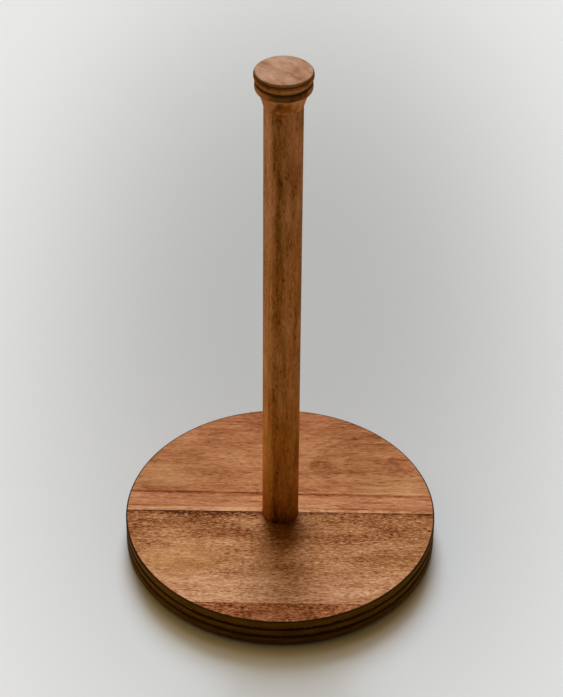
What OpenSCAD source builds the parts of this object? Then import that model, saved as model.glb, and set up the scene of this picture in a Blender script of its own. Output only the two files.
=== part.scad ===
// Upright paper towel holder in oiled hardwood.
//
// Three edge-glued staves make a round base, turned with two grooves round its edge. A plain
// dowel stands in a shallow socket in the middle, held from below by one machine screw in a
// threaded insert. A turned cap is pinned and glued to the top, and four pads keep the base
// from sliding.
//
// Frame: +Z up and the origin on the table under the middle of the base. X runs along the grain
// of the staves, and -Y is towards the user.

/* [Base] */
// Outer diameter of the base
base_d = 190; // [160:1:240]
// Thickness of the base board
base_t = 18; // [17:0.5:24]
// Depth of the two grooves turned in the edge
groove_depth = 1.8; // [1.6:0.1:3]
// Width of the flat bottom of each groove
groove_floor = 0.5; // [0.2:0.1:1]
// Rounding beside each groove
band_round = 1.6; // [0.6:0.1:1.6]
// Rounding of the top rim and of the bottom rim
rim_round = 0.7; // [0.3:0.1:1.5]
// How far the main seam lies in front of the post's axis
main_seam_offset = 0.5; // [-8:0.5:8]
// Width of the narrow stave at the front rim
front_edge_w = 16; // [12:0.5:30]

/* [Post] */
// Diameter of the post
post_d = 22; // [20:0.5:24]
// Length of post that shows between base and cap
post_shown = 300; // [285:1:330]
// Depth of the socket in the base's top
socket_depth = 5; // [3:0.5:5]

/* [Cap] */
// Largest diameter of the cap, which a roll's core has to pass over
cap_d = 32.8; // [31:0.1:36]
// Height of the cap
cap_h = 20.5; // [19:0.5:26]

/* [Fastening] */
// Thread diameter of the post screw
screw_d = 6; // [5:0.5:6]
// Length of the post screw under its head
screw_len = 25; // [20:1:25]
// Diameter of the dowel pin in the cap
pin_d = 8; // [6:0.5:8]
// Length of the dowel pin
pin_len = 30; // [20:1:30]

/* [Pads] */
// Diameter of each non-slip pad
foot_d = 14; // [10:0.5:20]
// Thickness of each non-slip pad
foot_t = 1.5; // [1:0.1:3]

/* [Hidden] */

$fn = 96;

// Gap left round anything that slips into a hole
slip = 0.05;
// Rounding of small edges, and of edges that are in effect sharp
edge_round = 0.3;
sharp_round = 0.1;
// How far a cutting shape runs past the face it cuts
past = 1;

base_r = base_d / 2;
base_bottom = foot_t;
base_top = base_bottom + base_t;
band_h = base_t / 3;
groove_r = base_r - groove_depth;
main_seam_y = -main_seam_offset;
front_seam_y = -base_r + front_edge_w;

post_r = post_d / 2;
post_bottom = base_top - socket_depth;
post_top = base_top + post_shown;
post_foot_round = 0.6;

// The cap's outline, as heights below its top face and radii
cap_r = cap_d / 2;
cap_bottom = post_top;
cap_top = cap_bottom + cap_h;
bead_h = 4.4;
bead_top_round = 1.2;
bead_low_round = 2.1;
cap_groove_r = cap_r - 1.7;
cap_groove_w = 1.1;
cap_band_r = cap_r - 0.5;
cap_band_h = 5.7;
cap_band_top_round = 1.6;
cap_band_low_round = 2;
neck_top_r = cap_band_r - cap_band_low_round;
neck_low_r = post_r + 0.15;

// The washer and the screw's head sit in a counterbore in the base's underside
counterbore_r = 10;
counterbore_depth = 7;
washer_r = 9;
washer_hole_r = screw_d / 2 + 0.2;
washer_t = 1.6;
screw_hole_r = screw_d / 2 + 0.3;
screw_head_r = screw_d;
screw_head_h = 4;
screw_head_round = 1.8;
screw_seat = base_bottom + counterbore_depth - washer_t;
hex_key_w = 4;
hex_depth = 2.4;
screw_tip_round = 0.8;

insert_r = 5;
insert_len = 18;
insert_bottom = post_bottom + 0.2;
insert_hole_depth = 19;

// The pin is shorter than its two holes together, which leaves room for glue
pin_r = pin_d / 2;
pin_hole_depth = pin_len / 2 + 0.5;
pin_end_round = 0.9;
flute_count = 12;
flute_r = 0.35;

foot_ring_r = base_r - 20;
foot_round = 0.5;

base_rear_brown = [0.66, 0.42, 0.28];
base_front_brown = [0.68, 0.46, 0.29];
base_edge_brown = [0.60, 0.33, 0.20];
post_brown = [0.47, 0.29, 0.16];
cap_brown = [0.70, 0.52, 0.39];

// Half the outline of a turned band from height low to height high, with rounded corners
module band_outline(r, low, high, round_high, round_low) {
    translate([0, low + round_low]) square([r, high - low - round_high - round_low]);
    translate([0, low]) square([r - round_low, high - low]);
    translate([0, high - round_high]) square([r - round_high, round_high]);
    translate([r - round_low, low + round_low]) circle(r = round_low);
    translate([r - round_high, high - round_high]) circle(r = round_high);
}

module turned_band(r, low, high, round_high, round_low) {
    rotate_extrude() band_outline(r, low, high, round_high, round_low);
}

// A plain cylinder on the post's axis from height low to height high, as a piece or as its bore
module round_bar(r, low, high) {
    translate([0, 0, low]) cylinder(r = r, h = high - low);
}

// Half the outline of the whole base: three rounded bands on a core as wide as the grooves
module base_outline() {
    translate([0, base_bottom]) square([groove_r, base_t]);
    for (i = [0 : 2]) {
        low = base_bottom + i * band_h + (i > 0 ? groove_floor / 2 : 0);
        high = base_bottom + (i + 1) * band_h - (i < 2 ? groove_floor / 2 : 0);
        band_outline(base_r, low, high, i < 2 ? band_round : rim_round, i > 0 ? band_round : rim_round);
    }
}

// The base before it is parted into staves, with the post's socket and the screw's hole
module whole_base() {
    difference() {
        rotate_extrude() base_outline();
        round_bar(post_r + slip, post_bottom, base_top + past);
        translate([0, 0, base_top - edge_round])
            cylinder(r1 = post_r + slip, r2 = post_r + slip + edge_round + past, h = edge_round + past);
        round_bar(screw_hole_r, base_bottom, base_top);
        round_bar(counterbore_r, base_bottom - past, base_bottom + counterbore_depth);
    }
}

// The stave of the base between two seams
module stave(from_y, to_y) {
    intersection() {
        whole_base();
        translate([-base_r - past, from_y, 0]) cube([base_d + 2 * past, to_y - from_y, base_top + past]);
    }
}

module base_stave_rear() {
    color(base_rear_brown) stave(main_seam_y, base_r + past);
}

module base_stave_front() {
    color(base_front_brown) stave(front_seam_y, main_seam_y);
}

module base_stave_front_edge() {
    color(base_edge_brown) stave(-base_r - past, front_seam_y);
}

module post() {
    color(post_brown)
        difference() {
            turned_band(post_r, post_bottom, post_top, edge_round, post_foot_round);
            round_bar(insert_r + slip, post_bottom - past, post_bottom + insert_hole_depth);
            round_bar(pin_r + slip, post_top - pin_hole_depth, post_top + past);
        }
}

// A round bead over a narrow groove, a wider band that is well rounded below, and a tapered
// neck that meets the post in a fine ledge
module cap() {
    bead_bottom = cap_top - bead_h;
    band_top = bead_bottom - cap_groove_w;
    band_bottom = band_top - cap_band_h;
    color(cap_brown)
        difference() {
            union() {
                turned_band(cap_r, bead_bottom, cap_top, bead_top_round, bead_low_round);
                round_bar(cap_groove_r, band_top - cap_band_top_round, bead_bottom + bead_low_round);
                turned_band(cap_band_r, band_bottom, band_top, cap_band_top_round, cap_band_low_round);
                translate([0, 0, cap_bottom])
                    cylinder(r1 = neck_low_r, r2 = neck_top_r, h = band_bottom - cap_bottom);
            }
            round_bar(pin_r + slip, cap_bottom - past, cap_bottom + pin_hole_depth);
        }
}

// Fluted hardwood pin, half in the post and half in the cap
module cap_dowel_pin() {
    low = post_top - pin_len / 2;
    color("burlywood")
        difference() {
            turned_band(pin_r, low, low + pin_len, pin_end_round, pin_end_round);
            for (i = [0 : flute_count - 1])
                rotate([0, 0, i * 360 / flute_count])
                    translate([pin_r, 0, low - past])
                        cylinder(r = flute_r, h = pin_len + 2 * past, $fn = 16);
        }
}

// Machine screw with a rounded head and a hexagonal drive, seen from below the base
module post_screw() {
    head_bottom = screw_seat - screw_head_h;
    screw_end = screw_seat + screw_len;
    color("silver")
        difference() {
            union() {
                turned_band(screw_head_r, head_bottom, screw_seat, edge_round, screw_head_round);
                turned_band(screw_d / 2, screw_seat - past, screw_end, screw_tip_round, sharp_round);
            }
            translate([0, 0, head_bottom - past])
                cylinder(d = hex_key_w / cos(30), h = hex_depth + past, $fn = 6);
        }
}

module screw_washer() {
    color("silver")
        difference() {
            round_bar(washer_r, screw_seat, screw_seat + washer_t);
            round_bar(washer_hole_r, screw_seat - past, screw_seat + washer_t + past);
        }
}

// Brass insert in the post's lower end, with its thread drawn as a plain bore
module threaded_insert() {
    color("gold")
        difference() {
            round_bar(insert_r, insert_bottom, insert_bottom + insert_len);
            round_bar(screw_d / 2 + slip, insert_bottom - past, insert_bottom + insert_len + past);
        }
}

// One non-slip pad under the base, at the given angle from +X
module foot(angle) {
    color("dimgray")
        rotate([0, 0, angle])
            translate([foot_ring_r, 0, 0])
                turned_band(foot_d / 2, 0, foot_t, sharp_round, foot_round);
}

base_stave_rear();
base_stave_front();
base_stave_front_edge();
post();
cap();
cap_dowel_pin();
post_screw();
screw_washer();
threaded_insert();
foot(225);  // foot_front_left
foot(315);  // foot_front_right
foot(135);  // foot_rear_left
foot(45);  // foot_rear_right
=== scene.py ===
# Looks of an upright paper towel holder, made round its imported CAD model: an oiled hardwood base
# of three staves, a dowel post with a turned cap, the steel hardware below and four rubber pads.
import math
from collections import namedtuple

import bpy
from mathutils import Matrix, Vector


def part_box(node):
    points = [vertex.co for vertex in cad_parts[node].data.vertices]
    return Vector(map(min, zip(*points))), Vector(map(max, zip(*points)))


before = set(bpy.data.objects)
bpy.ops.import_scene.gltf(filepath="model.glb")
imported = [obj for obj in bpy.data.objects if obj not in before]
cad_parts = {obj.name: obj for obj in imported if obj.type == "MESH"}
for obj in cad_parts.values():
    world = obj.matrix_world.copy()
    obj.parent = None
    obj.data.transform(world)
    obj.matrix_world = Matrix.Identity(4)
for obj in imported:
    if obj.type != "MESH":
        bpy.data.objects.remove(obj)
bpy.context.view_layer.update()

MM = 0.001


def millimetres(node):
    """The lowest and the highest corner of a CAD node, in millimetres."""
    low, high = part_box(node)
    return Vector(low) / MM, Vector(high) / MM


rear_low, rear_high = millimetres("base_stave_rear")
SEAM_Y = rear_low.y
BASE_R = rear_high.x
BASE_TOP = rear_high.z
POST_TOP = millimetres("post")[1].z
CAP_TOP = millimetres("cap")[1].z

# Light that a surface sends back per unit of base colour: a level one, the cap's side and the
# post's side. SHEEN is the gloss on top of it.
LEVEL_LIGHT = 0.94
CAP_SIDE_LIGHT = 0.45
POST_SIDE_LIGHT = 0.30
SHEEN = 0.003
WOOD_SPECULAR = 0.015

# How deep the grain goes in a wood's relief, in millimetres
WOOD_RELIEF = 0.06

# The layers of wood grain that grain() makes
Layers = namedtuple("Layers", "dashes streaks hairs pores")


def linear(level):
    """A display level from 0 to 255 as linear light."""
    level = level / 255
    return level / 12.92 if level <= 0.04045 else ((level + 0.055) / 1.055) ** 2.4


def shade(red, green, blue, light=LEVEL_LIGHT):
    """The base colour that shows as these display levels on a surface under that light."""
    parts = [max(0.002, (linear(level) - SHEEN) / light) for level in (red, green, blue)]
    return (*parts, 1.0)


class Wire:
    """An output socket of a graph. + - * and / make Math nodes."""

    def __init__(self, graph, socket):
        self.graph = graph
        self.socket = socket

    def __add__(self, other):
        return self.graph.calc("ADD", self, other)

    def __radd__(self, other):
        return self.graph.calc("ADD", other, self)

    def __sub__(self, other):
        return self.graph.calc("SUBTRACT", self, other)

    def __rsub__(self, other):
        return self.graph.calc("SUBTRACT", other, self)

    def __mul__(self, other):
        return self.graph.calc("MULTIPLY", self, other)

    def __rmul__(self, other):
        return self.graph.calc("MULTIPLY", other, self)

    def __truediv__(self, other):
        return self.graph.calc("DIVIDE", self, other)


class Graph:
    """The node tree of one material. Lengths in it are in millimetres."""

    def __init__(self, name):
        self.material = bpy.data.materials.new(name)
        self.material.use_nodes = True
        self.nodes = self.material.node_tree.nodes
        self.links = self.material.node_tree.links
        self.nodes.clear()
        self.shader = self.nodes.new("ShaderNodeBsdfPrincipled")
        output = self.nodes.new("ShaderNodeOutputMaterial")
        self.links.new(self.shader.outputs["BSDF"], output.inputs["Surface"])

    def put(self, socket, value):
        if isinstance(value, Wire):
            self.links.new(value.socket, socket)
        else:
            socket.default_value = value

    def calc(self, operation, *values):
        node = self.nodes.new("ShaderNodeMath")
        node.operation = operation
        for socket, value in zip(node.inputs, values):
            self.put(socket, value)
        return Wire(self, node.outputs[0])

    def place(self):
        """x, y and z of the point, in the frame of the CAD model."""
        coordinates = self.nodes.new("ShaderNodeTexCoord")
        scale = self.nodes.new("ShaderNodeVectorMath")
        scale.operation = "SCALE"
        scale.inputs["Scale"].default_value = 1 / MM
        self.links.new(coordinates.outputs["Object"], scale.inputs[0])
        parts = self.nodes.new("ShaderNodeSeparateXYZ")
        self.links.new(scale.outputs[0], parts.inputs[0])
        return [Wire(self, output) for output in parts.outputs]

    def facing(self):
        """x, y and z of the surface's own direction."""
        geometry = self.nodes.new("ShaderNodeNewGeometry")
        parts = self.nodes.new("ShaderNodeSeparateXYZ")
        self.links.new(geometry.outputs["Normal"], parts.inputs[0])
        return [Wire(self, output) for output in parts.outputs]

    def vector(self, x, y, z):
        node = self.nodes.new("ShaderNodeCombineXYZ")
        for socket, value in zip(node.inputs, (x, y, z)):
            self.put(socket, value)
        return Wire(self, node.outputs[0])

    def noise(self, x, y=0.0, z=0.0, detail=2.0, rough=0.5):
        """Cloudy noise round 0.5 that changes over about one unit of its inputs."""
        node = self.nodes.new("ShaderNodeTexNoise")
        node.inputs["Scale"].default_value = 1.0
        node.inputs["Detail"].default_value = detail
        node.inputs["Roughness"].default_value = rough
        self.put(node.inputs["Vector"], self.vector(x, y, z))
        return Wire(self, node.outputs["Fac"])

    def fade(self, value, start, end):
        """Smoothly from 0 at start to 1 at end."""
        node = self.nodes.new("ShaderNodeMapRange")
        node.interpolation_type = "SMOOTHSTEP"
        for socket, part in zip(node.inputs, (value, start, end)):
            self.put(socket, part)
        return Wire(self, node.outputs["Result"])

    def line(self, value, centre, half_width):
        """1 where value is centre, and 0 from half_width away."""
        return self.fade(self.calc("ABSOLUTE", value - centre), half_width, 0.0)

    def patch(self, x, y, centre, size, ragged=0.0):
        """1 inside an oval, fading to 0 outside it. ragged is a wire that breaks its outline."""
        across = (x - centre[0]) / size[0]
        along = (y - centre[1]) / size[1]
        far = self.calc("SQRT", across * across + along * along)
        return self.fade(far + ragged, 1.25, 0.35)

    def blend(self, amount, first, second, how="MIX"):
        """From the first colour at 0 to the second at 1."""
        node = self.nodes.new("ShaderNodeMix")
        node.data_type = "RGBA"
        node.blend_type = how
        for name, value in (("Factor_Float", amount), ("A_Color", first), ("B_Color", second)):
            self.put(next(s for s in node.inputs if s.identifier == name), value)
        return Wire(self, next(s for s in node.outputs if s.identifier == "Result_Color"))

    def finish(self, colour, roughness, height, depth, specular=0.3):
        """Connects the shader. depth is how deep the relief goes, in millimetres."""
        bump = self.nodes.new("ShaderNodeBump")
        bump.inputs["Strength"].default_value = 1.0
        bump.inputs["Distance"].default_value = depth * MM
        self.put(bump.inputs["Height"], height)
        self.put(self.shader.inputs["Base Color"], colour)
        self.put(self.shader.inputs["Roughness"], roughness)
        self.shader.inputs["Specular IOR Level"].default_value = specular
        self.links.new(bump.outputs["Normal"], self.shader.inputs["Normal"])
        return self.material


def give(node, material):
    """Puts a material on every slot of a CAD node."""
    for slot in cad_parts[node].material_slots:
        slot.material = material


# ---- Wood ----
#
# Each wood adds everything that darkens or lightens it into one tone, from 0, near black, to 1,
# cream, and looks that up in two ramps of colours, a plain one and a redder one.

def ramp(graph, tone, colours):
    """Colours spread evenly over a tone from 0 to 1."""
    node = graph.nodes.new("ShaderNodeValToRGB")
    stops = node.color_ramp.elements
    for index, colour in enumerate(colours):
        place = index / (len(colours) - 1)
        stop = stops[index] if index < 2 else stops.new(place)
        stop.position = place
        stop.color = colour
    graph.put(node.inputs[0], tone)
    return Wire(graph, node.outputs["Color"])


def tanned(graph, tone, red):
    """The colour of the base's wood for a tone and a redness, each from 0 to 1."""
    plain = ramp(graph, tone, [shade(68, 33, 3), shade(119, 69, 30), shade(163, 109, 68),
                               shade(190, 139, 94), shade(215, 170, 129)])
    warm = ramp(graph, tone, [shade(75, 33, 3), shade(122, 64, 30), shade(166, 104, 67),
                              shade(194, 134, 95), shade(219, 167, 132)])
    return graph.blend(red, plain, warm)


def grain(graph, along, across, depth, seed, curl=3.0, length=3.0, width=0.9):
    """What every cut along the fibres shows: short dashes, long streaks, hairlines and pores.
    curl is how far the fibres sway; length and width are a dash's. All are in millimetres."""
    sway = curl * graph.noise(along / 10 + seed, across / 5, depth / 5)
    wavy = across + sway
    dashes = graph.noise(along / length, wavy / width + seed, depth / width, 3.0, 0.62)
    streaks = graph.noise(along / (6 * length) + seed, wavy / 2.1, depth / 2.1, 3.0, 0.55)
    hairs = graph.noise(along / 6.0, wavy / 0.32, depth / 0.32 + seed, 2.0, 0.6)
    cut = graph.noise(along / (0.8 * length) + seed, wavy / 0.6, depth / 0.6, 1.0)
    crowd = graph.noise(along / 20, across / 6 + seed, depth / 6, 2.0)
    pores = graph.fade(cut + 0.35 * crowd, 0.79, 0.88)
    return Layers(dashes, streaks, hairs, pores)


def lively(layers, strength, fine=1.0):
    """How much the grain adds to the tone. fine scales its short dashes and hairs."""
    small = fine * strength
    short = (layers.dashes - 0.5) * (1.35 * small) + (layers.hairs - 0.5) * (0.6 * small)
    long = (layers.streaks - 0.5) * (0.8 * strength)
    return short + long - layers.pores * (0.30 * strength)


def oiled(graph, colour, layers):
    """Finishes a wood material: satin, rougher in the pores, with the grain in relief."""
    roughness = 0.56 + 0.10 * layers.dashes + 0.2 * layers.pores
    height = 0.3 * layers.hairs + 0.3 * layers.dashes - layers.pores
    return graph.finish(colour, roughness, height, WOOD_RELIEF, WOOD_SPECULAR)


def stave_edges(graph, colour):
    """Darkens a stave with painted shade where it is turned and just inside its rim, in uneven
    patches.
    The turned side is browner behind than in front, where the painted shade is darker. Its crowns
    get a faint painted highlight, its grooves painted light, and its up-facing parts more painted
    shade."""
    x, y, z = graph.place()
    ny, nz = graph.facing()[1:]
    out = graph.calc("SQRT", x * x + y * y) - BASE_R
    side = graph.fade(graph.calc("ABSOLUTE", nz), 0.97, 0.5)
    # Painted shade: the turned side and a thin ring just inside the rim get a near-black brown
    turned = graph.calc("MAXIMUM", side, graph.fade(out, -1.1, -0.7))
    soak = graph.noise(x / 16, y / 16, z / 1.3, 3.0)
    uneven = graph.fade(soak, 0.35, 0.65)
    # Painted shade: the front of the turned side is darker than the back
    front = graph.blend(uneven, (0.118, 0.049, 0.002, 1), (0.180, 0.078, 0.004, 1))
    back = graph.blend(uneven, (0.135, 0.052, 0.022, 1), (0.185, 0.076, 0.034, 1))
    dark = graph.blend(0.85 * graph.fade(ny, -0.35, 0.25), front, back)
    # Painted highlight: a faint lighter line on the crowns of the turned bands
    painted_crown_highlight = graph.fade(out, -0.5, -0.1) * graph.fade(soak, 0.3, 0.6) * side
    dark = graph.blend(0.12 * painted_crown_highlight, dark, (0.20, 0.10, 0.010, 1))
    # Painted light: the grooves are lightened to soften the shade in them
    painted_groove_light = graph.fade(out, -0.7, -1.3) * side
    dark = graph.blend(0.85 * painted_groove_light, dark, (0.30, 0.13, 0.008, 1))
    dark = graph.blend(0.2, dark, graph.blend(1.0, dark, colour, "MULTIPLY"))
    # Painted shade: up-facing parts of the turned side and the ring inside the rim go near black
    painted_shade_up_facing = graph.fade(nz, 0.05, 0.5)
    dark = graph.blend(0.85 * painted_shade_up_facing, dark, (0.026, 0.011, 0.001, 1))
    return graph.blend(turned, colour, dark)


def rear_stave():
    """Orange-brown board with a cathedral swirl, a closed eye and one dark streak."""
    graph = Graph("rear_stave_wood")
    x, y, z = graph.place()
    r = BASE_R
    layers = grain(graph, x, y, z, seed=1.7, curl=1.6, length=4.5, width=0.75)
    ragged = layers.dashes - 0.5
    drift = graph.noise(x / 45, y / 18, z / 18, 2.0)
    cloud = graph.noise(x / 30 + 4.1, y / 12, z / 12, 3.0)

    # Growth rings: the heart runs below the top face and comes nearer at the eye and the swirl
    eye = graph.fade(graph.calc("ABSOLUTE", x + 0.56 * r), 0.42 * r, 0.0)
    open_end = graph.fade(x, 0.10 * r, 0.52 * r)
    heart = 0.31 * r - 0.15 * r * eye - 0.20 * r * open_end + (BASE_TOP - z)
    side = y - 0.46 * r - 7.0 * (drift - 0.5)
    ring = graph.calc("SQRT", side * side + heart * heart) + 6.0 * (cloud - 0.5) + 2.5 * ragged
    rings = graph.noise(ring / 4.2 + 2.3, x / 90, 0.0, 2.0, 0.55)
    late = graph.noise(ring / 1.3 + 8.3, x / 40, 0.0, 1.0)

    tone = 0.56 + 0.5 * (cloud - 0.5) + lively(layers, 0.62)
    right_end = graph.fade(x, 0.0, 0.3 * r)
    tone = tone - (0.04 + 0.05 * right_end) * graph.fade(rings, 0.50, 0.66)
    tone = tone - (0.03 + 0.06 * right_end) * graph.fade(late, 0.52, 0.68)
    round_x = (x - 0.44 * r + 4.0 * ragged) / (0.20 * r)
    round_y = (y - 0.465 * r) / (0.115 * r)
    hook = graph.line(graph.calc("SQRT", round_x * round_x + round_y * round_y), 0.8, 0.5)
    tone = tone - 0.13 * hook * graph.fade(x, 0.56 * r, 0.30 * r)
    golden = graph.patch(x, y, (-0.82 * r, 0.32 * r), (0.22 * r, 0.13 * r), 2 * ragged)
    cream = graph.patch(x, y, (0.75 * r, 0.25 * r), (0.26 * r, 0.09 * r), 2 * ragged)
    blotch = graph.patch(x, y, (0.76 * r, 0.46 * r), (0.11 * r, 0.08 * r), 2 * ragged)
    back = graph.fade(y, 0.66 * r, 0.80 * r)
    tone = tone + 0.05 * golden + 0.13 * cream - 0.10 * blotch - 0.07 * back
    red = 0.50 + 0.7 * (drift - 0.5) - 0.3 * golden - 0.4 * cream + 0.4 * blotch + 0.4 * back

    # The dark streak is crisp with a pale line behind it on the right, and soft on the left
    sway = 1.6 * (graph.noise(x / 24, 0.0, 0.0) - 0.5) + 0.8 * ragged
    streak = y - 0.168 * r + 0.013 * x - sway
    right = graph.fade(x, -0.12 * r, 0.12 * r)
    strip = graph.fade(streak, 0.4, -1.2)
    soft = graph.fade(streak, -4.8, -0.3) * graph.fade(streak, 0.9, 0.1)
    crisp = graph.line(streak, -0.5, 1.3)
    pale = graph.line(streak, 1.8, 1.3)
    lines = graph.noise(x / 16, y / 0.9, z / 0.9 + 6.1, 2.0, 0.6)
    tone = tone + strip * (0.09 + 0.60 * (lines - 0.5)) - soft * (0.23 - 0.12 * right)
    tone = tone - crisp * (0.10 + 0.12 * right)
    tone = tone + pale * (0.03 + 0.10 * right)
    red = red + 0.35 * strip + 0.9 * soft

    # Beside the glue line: cream, wide on the left and broken on the right, then a brown line
    seam = y - SEAM_Y - 0.7 * ragged
    wide = 3.5 - 1.3 * right
    gaps = graph.fade(graph.noise(x / 9, 0.0, 0.0, 2.0), 0.56, 0.42) * (0.2 + 0.6 * right)
    edge = graph.fade(seam - wide, 0.5, -0.5)
    tone = tone + edge * (0.20 - 0.20 * gaps) - 0.13 * graph.line(seam - wide, 1.0, 1.0)
    red = red - 0.2 * edge
    return oiled(graph, stave_edges(graph, tanned(graph, tone, red)), layers)


def front_stave():
    """Mottled tan board, curly and speckled behind and plainer with long dashes in front."""
    graph = Graph("front_stave_wood")
    x, y, z = graph.place()
    r = BASE_R
    layers = grain(graph, x, y, z, seed=5.3, curl=4.0, width=0.75)
    ragged = layers.dashes - 0.5
    cloud = graph.noise(x / 24 + 9.2, y / 11, z / 11, 3.0)
    speck = graph.noise(x / 1.5, y / 1.0, z / 1.0, 2.0, 0.6)
    torn = graph.noise(x / 7, y / 4, z / 4, 3.0) - 0.5 + ragged
    behind = SEAM_Y - y

    golden = graph.patch(x, y, (-0.62 * r, -0.46 * r), (0.24 * r, 0.14 * r), torn)
    grey = graph.patch(x, y, (0.78 * r, -0.42 * r), (0.16 * r, 0.19 * r), torn)
    front = graph.fade(y + 4 * torn, -0.50 * r, -0.68 * r)
    left = graph.patch(x, y, (-0.38 * r, -0.22 * r), (0.26 * r, 0.06 * r), torn)
    right = graph.patch(x, y, (0.38 * r, -0.245 * r), (0.32 * r, 0.04 * r), torn)
    spot = graph.patch(x, y, (0.70 * r, -0.155 * r), (0.09 * r, 0.045 * r), torn)
    second = graph.patch(x, behind, (-0.66 * r, 9.5), (0.24 * r, 2.6), torn)
    curl = graph.fade(behind, 0.30 * r, 0.04 * r)
    right_half = graph.fade(x, -0.1 * r, 0.3 * r)
    threads = graph.noise(x / 6.5 + 3.7, (y + 2.0 * torn) / 0.95, z / 0.95, 2.0, 0.6)
    tone = 0.55 + 0.6 * (cloud - 0.5) + lively(layers, 0.80 - 0.2 * golden, 1.65)
    tone = tone - 0.26 * front * graph.fade(threads, 0.50, 0.66)
    tone = tone + 0.13 * golden + 0.03 * grey + front * (0.26 - 0.12 * right_half)
    tone = tone - 0.09 * left - 0.16 * right - 0.13 * spot - 0.12 * second - 0.07 * curl
    tone = tone - (0.05 + 0.10 * curl) * graph.fade(speck, 0.52, 0.66)
    red = 0.22 + 0.6 * (cloud - 0.5) - 0.4 * golden - 0.3 * grey + 0.6 * left + 0.5 * right
    red = red + 0.8 * spot + 0.3 * front

    # The burnt-looking band and the dark glue line beside the main seam
    burnt = graph.patch(x, behind, (-0.40 * r, 0.0), (0.42 * r, 5.4), torn * 1.2)
    tone = tone - burnt * (0.12 + 0.26 * graph.fade(speck, 0.40, 0.58))
    tone = tone - 0.16 * graph.fade(behind + 3 * torn, 5.0, 1.0)
    faint = 0.5 * graph.fade(x, -0.1 * r, 0.2 * r)
    glue = graph.fade(behind + 1.2 * torn, 1.3, 0.2) * (1.0 - faint)
    tone = tone - 0.36 * glue

    # Tints: cream in front, golden on the left, and a painted shadow of the post on the board in
    # front of it
    colour = graph.blend(0.12 * front, tanned(graph, tone, red), shade(198, 156, 126))
    colour = graph.blend(0.25 * golden, colour, shade(188, 130, 74))
    # Painted shadow: the post's shadow on the board, a little to the right of it
    foot = graph.patch(x, y, (0.07 * r, -0.18 * r), (0.17 * r, 0.16 * r), 0.4 * torn)
    colour = graph.blend(0.60 * foot, colour, shade(104, 54, 8))
    return oiled(graph, stave_edges(graph, colour), layers)


def front_edge_stave():
    """Narrow red-brown board with coarse specks."""
    graph = Graph("edge_stave_wood")
    x, y, z = graph.place()
    layers = grain(graph, x, y, z, seed=9.9, curl=2.0, length=2.4)
    cloud = graph.noise(x / 14, y / 7, z / 7, 3.0)
    speck = graph.noise(x / 2.2, y / 1.2, z / 1.2, 2.0, 0.6)
    tone = 0.40 + 0.5 * (cloud - 0.5) + lively(layers, 0.8, 1.1) - 0.9 * (speck - 0.5)
    return oiled(graph, stave_edges(graph, tanned(graph, tone, 1.0)), layers)


def post_wood():
    """Curly-grained dowel, paler on its left, with a wandering dark streak and clumps of flecks."""
    graph = Graph("post_wood")
    x, y, z = graph.place()
    layers = grain(graph, z, x, y, seed=3.1, curl=3.2, length=3.6, width=0.8)
    wander = graph.noise(z / 46, 0.0, 0.0, 2.0) - 0.5
    cloud = graph.noise(x / 6, y / 6, z / 26, 3.0)
    olive = graph.noise(x / 7 + 5.5, y / 7, z / 40, 2.0)
    side = x + 34 + 10 * wander
    back = y - 16
    ring = graph.calc("SQRT", side * side + back * back) + 2.5 * (cloud - 0.5) + layers.dashes
    rings = graph.noise(ring / 2.2, z / 120, 0.0, 2.0)
    streak = graph.line(x - 6 * wander, -2.6, 3.6)
    pale = graph.fade(x - 5 * wander, -4.2, -7.2)
    top = graph.fade(z, 0.35 * POST_TOP, 0.65 * POST_TOP)
    clump = graph.noise(x / 4, y / 4, z / 9, 2.0)
    flecks = graph.noise(x / 0.75, y / 0.75, z / 2.4 + 7.7, 1.0)
    tone = 0.45 + 0.45 * (cloud - 0.5) + lively(layers, 0.38) - streak * (0.04 + 0.05 * top)
    tone = tone + 0.15 * pale - 0.04 * top
    tone = tone - 0.09 * graph.fade(rings, 0.48, 0.66)
    crowd = graph.fade(clump + 0.10 * streak, 0.53, 0.66)
    tone = tone - 0.22 * crowd * graph.fade(flecks, 0.55, 0.68)
    # Painted shade: darker over the lowest 30 mm of the post, just above the base
    foot = graph.fade(z, BASE_TOP + 30.0, BASE_TOP + 6.0)
    tone = tone - 0.13 * foot
    lit = POST_SIDE_LIGHT
    plain = ramp(graph, tone, [shade(40, 20, 3, lit), shade(76, 44, 16, lit),
                               shade(102, 66, 37, lit), shade(125, 85, 58, lit),
                               shade(148, 108, 84, lit)])
    warm = ramp(graph, tone, [shade(41, 19, 3, lit), shade(77, 41, 14, lit),
                              shade(103, 62, 35, lit), shade(126, 81, 57, lit),
                              shade(149, 105, 84, lit)])
    red = graph.fade(olive, 0.60, 0.38) * (1.0 - 0.4 * top)
    colour = graph.blend(red, plain, warm)

    # Painted warm bounce light: more golden in front, in two steps downwards
    upper = graph.fade(z, 0.85 * POST_TOP, 0.60 * POST_TOP)
    lower = graph.fade(z, 0.45 * POST_TOP, 0.25 * POST_TOP)
    painted_warm_bounce = (0.45 * upper + 0.5 * lower) * graph.fade(y, 5.0, -2.0)
    golden = graph.blend(1.0, colour, (1.10, 0.99, 0.40, 1), "MULTIPLY")
    return oiled(graph, graph.blend(painted_warm_bounce, colour, golden), layers)


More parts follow.
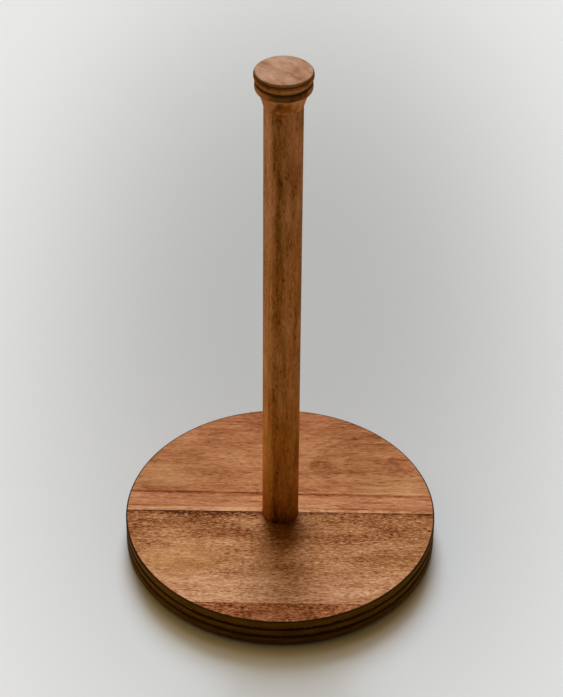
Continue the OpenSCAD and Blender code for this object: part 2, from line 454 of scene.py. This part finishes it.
def cap_wood():
    """Pinkish tan end piece whose grain runs level and on the skew, browner where turned,
    with painted shade and painted highlights on its turned side.
    """
    graph = Graph("cap_wood")
    x, y, z = graph.place()
    nz = graph.facing()[2]
    turn = math.radians(-50)
    along = x * math.cos(turn) + y * math.sin(turn)
    across = y * math.cos(turn) - x * math.sin(turn)
    layers = grain(graph, along, across, z, seed=2.2, curl=2.5, width=1.1)
    cloud = graph.noise(along / 9, across / 5.5, z / 7, 3.0)
    smudge = graph.noise(along / 8 + 3.3, across / 3.6, z / 9, 2.0)
    tone = 0.60 + 1.0 * (cloud - 0.5) + lively(layers, 0.09)
    tone = tone - 0.18 * graph.fade(smudge, 0.46, 0.68)
    pale = ramp(graph, tone, [shade(110, 68, 44), shade(158, 110, 80), shade(184, 144, 116),
                              shade(202, 168, 142)])
    lit = CAP_SIDE_LIGHT
    brown = ramp(graph, tone, [shade(54, 24, 2, lit), shade(92, 50, 14, lit),
                               shade(124, 76, 40, lit), shade(150, 102, 66, lit)])

    # Heights below the cap's top: a bead in painted shade but for a pale lip, painted light in the
    # hollow under it, a band in painted shade, darkest from the middle to the right, with a painted
    # highlight on its lower edge on the right, and the neck with its slanting stripe
    below = CAP_TOP - z
    band = graph.fade(below, 5.0, 6.0) * graph.fade(below + 2.0 * (cloud - 0.5), 10.4, 9.2)
    right = graph.fade(x + 5 * (smudge - 0.5), -9.0, -5.0) * graph.fade(x, 12.5, 9.0)
    # Painted light: a golden glow in the hollow under the bead
    painted_hollow_light = graph.fade(below, 4.4, 5.0) * graph.fade(below, 6.4, 5.6)
    neck = graph.fade(below, 10.0, 11.5)
    stripe = graph.line(x + 6.2 + 0.55 * (below - 20.5), 0.0, 2.4) * neck
    # Painted shade: the band under the bead goes near black, most from the middle to the right
    turned = graph.blend(band * (0.2 + 0.5 * right), brown, (0.026, 0.012, 0.0005, 1))
    turned = graph.blend(0.55 * stripe, turned, (0.04, 0.016, 0.002, 1))
    lip = graph.line(below, 2.8, 1.2)
    # Painted shade on the bead's side, all but its pale lip
    bead = graph.fade(below, 4.9, 4.4) * (1.0 - lip)
    turned = graph.blend(0.48 * bead, turned, (0.030, 0.012, 0.001, 1))
    turned = graph.blend(0.7 * painted_hollow_light, turned, (0.40, 0.20, 0.03, 1))
    # Painted highlight on the band's lower edge on the right
    painted_band_highlight = graph.line(below, 10.4, 0.9) * graph.fade(x + 8 * (smudge - 0.5), 1.0, 6.0)
    turned = graph.blend(0.6 * painted_band_highlight, turned, (0.36, 0.19, 0.10, 1))
    # Painted shade on up-facing turned surfaces, such as the rounding of the rim
    turned = graph.blend(0.65 * graph.fade(nz, 0.15, 0.55), turned, (0.062, 0.022, 0.001, 1))

    # The pale top face ends a little short of the rim in front, leaving a ring of painted shade
    # there
    forward = (y - 1.15) / 0.92
    out = graph.calc("SQRT", x * x + forward * forward)
    level = graph.fade(nz, 0.74, 0.93) * graph.fade(out, 16.3, 15.0)
    return oiled(graph, graph.blend(level, turned, pale), layers)


def pin_wood():
    """Pale beech with short brown flecks."""
    graph = Graph("pin_wood")
    x, y, z = graph.place()
    layers = grain(graph, z, x, y, seed=8.4, curl=0.5)
    tone = 0.6 + lively(layers, 0.5)
    colour = ramp(graph, tone, [shade(150, 104, 62), shade(202, 162, 116), shade(230, 200, 160)])
    return oiled(graph, colour, layers)


# ---- Hardware and pads ----

def turned_metal(name, tint, tarnish, roughness):
    """Machined metal: faint rings from the cutting tool and a little tarnish."""
    graph = Graph(name)
    x, y, z = graph.place()
    far = graph.calc("SQRT", x * x + y * y)
    tool = graph.noise(far / 0.16, z / 0.16, 0.0, 2.0)
    cloud = graph.noise(x / 5, y / 5, z / 5, 3.0)
    scratch = graph.noise(x / 0.4, y / 6, z / 0.4, 2.0)
    colour = graph.blend(graph.fade(cloud, 0.45, 0.75) * 0.6, tint, tarnish)
    graph.shader.inputs["Metallic"].default_value = 1.0
    rough = roughness + 0.18 * cloud + 0.1 * scratch
    return graph.finish(colour, rough, 0.7 * tool + 0.3 * scratch, 0.012, 0.5)


def pad_rubber():
    """Dark rubber with a fine moulded grain and some dust."""
    graph = Graph("foot_rubber")
    x, y, z = graph.place()
    moulded = graph.noise(x / 0.28, y / 0.28, z / 0.28, 3.0)
    dust = graph.noise(x / 3, y / 3, z / 3, 4.0, 0.65)
    colour = graph.blend(graph.fade(dust, 0.5, 0.75) * 0.5, (0.022, 0.021, 0.020, 1),
                         (0.085, 0.08, 0.074, 1))
    return graph.finish(colour, 0.66 + 0.2 * dust, moulded, 0.05)


# ---- Stage, light and camera ----

def floor():
    """Pale seamless sheet with painted shade: greyest behind the object and paler further out."""
    reach = 60.0
    mesh = bpy.data.meshes.new("floor")
    corners = [(-reach, -reach, 0), (reach, -reach, 0), (reach, reach, 0), (-reach, reach, 0)]
    mesh.from_pydata(corners, [], [(0, 1, 2, 3)])
    sheet = bpy.data.objects.new("floor", mesh)
    bpy.context.scene.collection.objects.link(sheet)
    graph = Graph("floor_paper")
    x, y, _ = graph.place()
    greyest_x, greyest_y, stretch = 8, 225, 2.28
    side = x - greyest_x
    back = (y - greyest_y) / stretch
    out = graph.calc("SQRT", side * side + back * back)
    tooth = graph.noise(x / 1.6, y / 1.6, 0.0, 3.0)
    # Painted shade: the floor's colour darkens towards a point behind the object
    colour = graph.blend(graph.fade(out, 35, 297), (0.51, 0.51, 0.51, 1), (0.86, 0.86, 0.86, 1))
    mesh.materials.append(graph.finish(colour, 0.85 + 0.1 * tooth, tooth, 0.03, 0.1))


def sky(surroundings, fill):
    """Pale surroundings to look at, and a weaker fill from all of it."""
    world = bpy.data.worlds.new("studio")
    world.use_nodes = True
    nodes, links = world.node_tree.nodes, world.node_tree.links
    nodes.clear()
    seen, soft = nodes.new("ShaderNodeBackground"), nodes.new("ShaderNodeBackground")
    seen.inputs["Color"].default_value = (surroundings, surroundings, surroundings, 1)
    soft.inputs["Color"].default_value = (*fill, 1)
    path, pick = nodes.new("ShaderNodeLightPath"), nodes.new("ShaderNodeMixShader")
    output = nodes.new("ShaderNodeOutputWorld")
    links.new(path.outputs["Is Camera Ray"], pick.inputs[0])
    links.new(soft.outputs[0], pick.inputs[1])
    links.new(seen.outputs[0], pick.inputs[2])
    links.new(pick.outputs[0], output.inputs["Surface"])
    bpy.context.scene.world = world


def sun(name, azimuth, elevation, spread, strength, colour):
    """Soft light from one side: azimuth 0 is behind the object and 90 to its right. spread is
    how wide the lamp looks, in degrees like the other two angles."""
    light = bpy.data.lights.new(name, "SUN")
    light.energy = strength
    light.color = colour
    light.angle = math.radians(spread)
    lamp = bpy.data.objects.new(name, light)
    turn, lift = math.radians(azimuth), math.radians(elevation)
    towards = Vector((math.sin(turn) * math.cos(lift), math.cos(turn) * math.cos(lift),
                      math.sin(lift)))
    lamp.rotation_mode = "QUATERNION"
    lamp.rotation_quaternion = towards.to_track_quat("Z", "Y")
    lamp.location = towards * 2
    bpy.context.scene.collection.objects.link(lamp)


def camera():
    """Looks down at the object from the front, a long way off and with a long lens."""
    lens = bpy.data.cameras.new("camera")
    lens.lens = 123.69
    lens.sensor_width = 36
    lift = math.radians(39.4507)
    roll = math.radians(0.4769)
    turn = math.radians(0.54)
    ahead = Vector((-math.sin(turn) * math.cos(lift), math.cos(turn) * math.cos(lift),
                    -math.sin(lift)))
    right = Vector((math.cos(turn), math.sin(turn), 0))
    up = right.cross(ahead)
    across = right * math.cos(roll) + up * math.sin(roll)
    upright = up * math.cos(roll) - right * math.sin(roll)
    target = Vector((-0.00007, 0, 0.1493))
    distance = 1.3936
    matrix = Matrix((across, upright, -ahead)).transposed().to_4x4()
    matrix.translation = target - ahead * distance
    view = bpy.data.objects.new("camera", lens)
    view.matrix_world = matrix
    bpy.context.scene.collection.objects.link(view)
    bpy.context.scene.camera = view


give("base_stave_rear", rear_stave())
give("base_stave_front", front_stave())
give("base_stave_front_edge", front_edge_stave())
give("post", post_wood())
give("cap", cap_wood())
give("cap_dowel_pin", pin_wood())
steel = turned_metal("zinc_steel", tint=(0.62, 0.62, 0.64, 1), tarnish=(0.50, 0.49, 0.46, 1),
                     roughness=0.22)
give("post_screw", steel)
give("screw_washer", steel)
brass = turned_metal("insert_brass", tint=(0.78, 0.58, 0.26, 1), tarnish=(0.50, 0.36, 0.16, 1),
                     roughness=0.26)
give("threaded_insert", brass)
rubber = pad_rubber()
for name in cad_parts:
    if name.startswith("foot_"):
        give(name, rubber)

floor()
sky(surroundings=0.80, fill=(0.030, 0.022, 0.012))
sun("top_light", 0, 78, 30, 0.50, (1.0, 0.60, 0.20))
sun("middle_light", -3, 56, 30, 0.95, (0.94, 1.0, 1.0))
sun("low_light", -3, 37, 28, 3.05, (0.700, 0.829, 1.0))
sun("left_light", -70, 25, 70, 0.54, (1.0, 0.78, 0.30))
sun("right_light", 75, 25, 70, 0.22, (1.0, 0.78, 0.30))
camera()
bpy.context.scene.view_settings.view_transform = "Standard"
